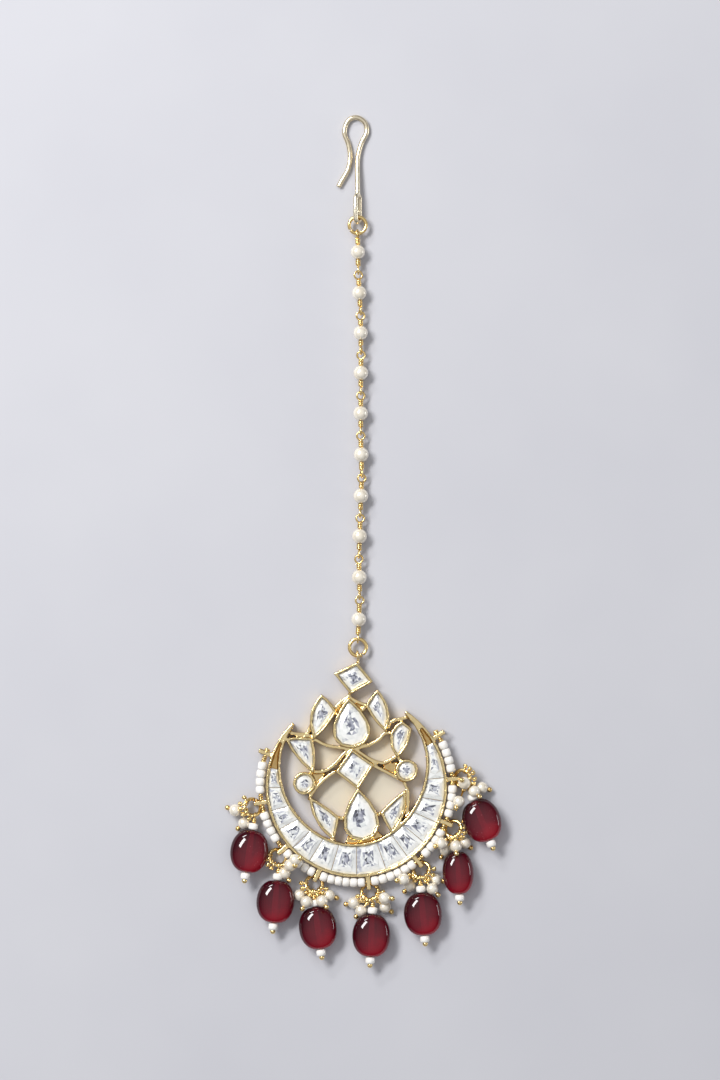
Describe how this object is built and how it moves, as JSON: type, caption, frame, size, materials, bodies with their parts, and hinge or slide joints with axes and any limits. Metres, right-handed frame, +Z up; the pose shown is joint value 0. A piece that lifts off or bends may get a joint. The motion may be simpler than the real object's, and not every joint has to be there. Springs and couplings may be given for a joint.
{
  "type": "maang tikka",
  "caption": "Forehead ornament lying flat: hair hook, chain of pearls on wrapped wire, and a crescent pendant of foiled stones rimmed with seed beads and red glass drops.",
  "frame": {"origin": "centre of the bounding box, at its bottom, on the surface that the jewel lies on", "axes": "+X to the right, +Y along the jewel from the pendant to the hair hook, +Z up out of the surface, from the closed backs to the faces of the stones"},
  "size_m": [0.0544, 0.1702, 0.0055],
  "materials": {
    "yellow_gold": "gold-plated, hand-made, slightly granular",
    "pale_gold": "pale champagne gold plate, smooth",
    "clear_stone": "clear cut glass on foil, polished",
    "red_glass": "deep red translucent glass, polished",
    "white_seed": "opaque white glass, glossy",
    "pearl": "creamy lustrous imitation pearl"
  },
  "bodies": {
    "root": {"hair_hook": "pale_gold", "hook_ring": "yellow_gold", "pendant_ring": "yellow_gold", "pendant_frame": "yellow_gold", "crescent_stones": "clear_stone", "seed_string": "white_seed", "chain_link_01": "pearl", "chain_link_02": "pearl", "chain_link_03": "pearl", "chain_link_04": "pearl", "chain_link_05": "pearl", "chain_link_06": "pearl", "chain_link_07": "pearl", "chain_link_08": "pearl", "chain_link_09": "pearl", "chain_link_10": "pearl", "stone_crown": "clear_stone", "stone_petal_left": "clear_stone", "stone_petal_right": "clear_stone", "stone_fan_left": "clear_stone", "stone_fan_right": "clear_stone", "stone_centre": "clear_stone", "stone_leaf_left": "clear_stone", "stone_leaf_right": "clear_stone", "stone_heart": "clear_stone", "stone_base": "clear_stone", "stone_round_left": "clear_stone", "stone_round_right": "clear_stone", "drop_ring_1": "yellow_gold", "drop_wirework_1": "yellow_gold", "drop_bead_1": "red_glass", "drop_ring_2": "yellow_gold", "drop_wirework_2": "yellow_gold", "drop_bead_2": "red_glass", "drop_ring_3": "yellow_gold", "drop_wirework_3": "yellow_gold", "drop_bead_3": "red_glass", "drop_ring_4": "yellow_gold", "drop_wirework_4": "yellow_gold", "drop_bead_4": "red_glass", "drop_ring_5": "yellow_gold", "drop_wirework_5": "yellow_gold", "drop_bead_5": "red_glass", "drop_ring_6": "yellow_gold", "drop_wirework_6": "yellow_gold", "drop_bead_6": "red_glass", "drop_ring_7": "yellow_gold", "drop_wirework_7": "yellow_gold", "drop_bead_7": "red_glass"}
  },
  "joints": []
}
